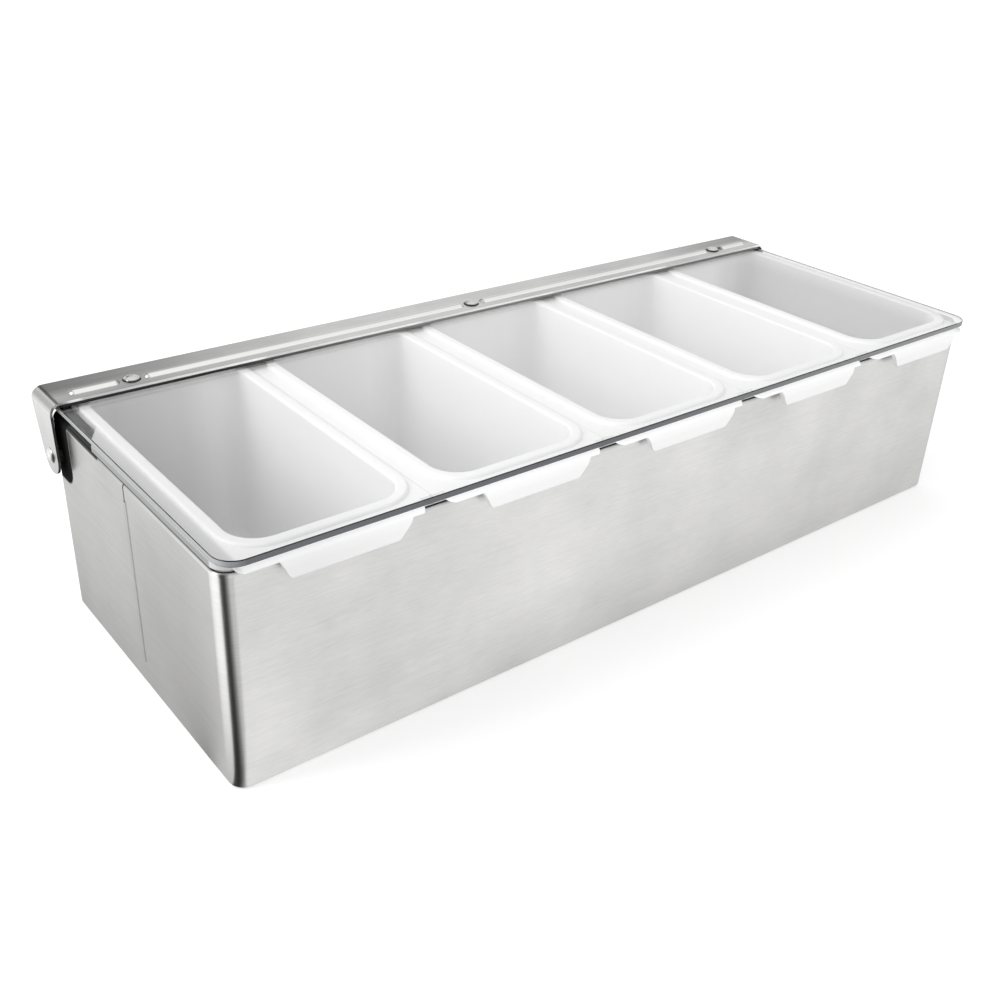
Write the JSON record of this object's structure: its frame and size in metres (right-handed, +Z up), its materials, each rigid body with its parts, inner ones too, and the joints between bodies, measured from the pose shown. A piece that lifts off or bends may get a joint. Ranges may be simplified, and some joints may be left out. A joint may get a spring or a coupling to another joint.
{
  "type": "condiment dispenser",
  "caption": "Long low stainless steel condiment box with white lift-out inserts in a row and a clear lid on a hinge bar at the back.",
  "frame": {"origin": "middle of the underside, at the height of the bottom flange's lower face", "axes": "+X along the length to the right, +Y from front to back, +Z up"},
  "size_m": [0.4928, 0.189, 0.1172],
  "materials": {
    "housing_steel": "fine brushed along the length",
    "pan_steel": "mill finish sheet",
    "insert_plastic": "moulded white, satin",
    "lid_acrylic": "clear sheet with polished edges",
    "bar_steel": "brushed, bright edges",
    "rivet_steel": "polished",
    "spacer_plastic": "moulded",
    "sleeve_steel": "turned"
  },
  "bodies": {
    "base": {"housing_wall": "housing_steel", "bottom_pan": "pan_steel", "insert_1": "insert_plastic", "insert_2": "insert_plastic", "insert_3": "insert_plastic", "insert_4": "insert_plastic", "insert_5": "insert_plastic", "pivot_rivet_left": "rivet_steel", "pivot_rivet_right": "rivet_steel", "pivot_sleeve_left": "sleeve_steel", "pivot_sleeve_right": "sleeve_steel", "pivot_washer_left": "sleeve_steel", "pivot_washer_right": "sleeve_steel"},
    "lid": {"clear_lid": "lid_acrylic", "hinge_bar": "bar_steel", "lid_rivet_left": "rivet_steel", "lid_rivet_middle": "rivet_steel", "lid_rivet_right": "rivet_steel", "lid_spacer_left": "spacer_plastic", "lid_spacer_middle": "spacer_plastic", "lid_spacer_right": "spacer_plastic"}
  },
  "joints": [
    {"name": "lid_hinge", "type": "hinge", "parent": "base", "child": "lid", "pos_m": [0, 0.078, 0.0865], "axis": [-1, 0, 0], "range_deg": [0, 125]}
  ]
}
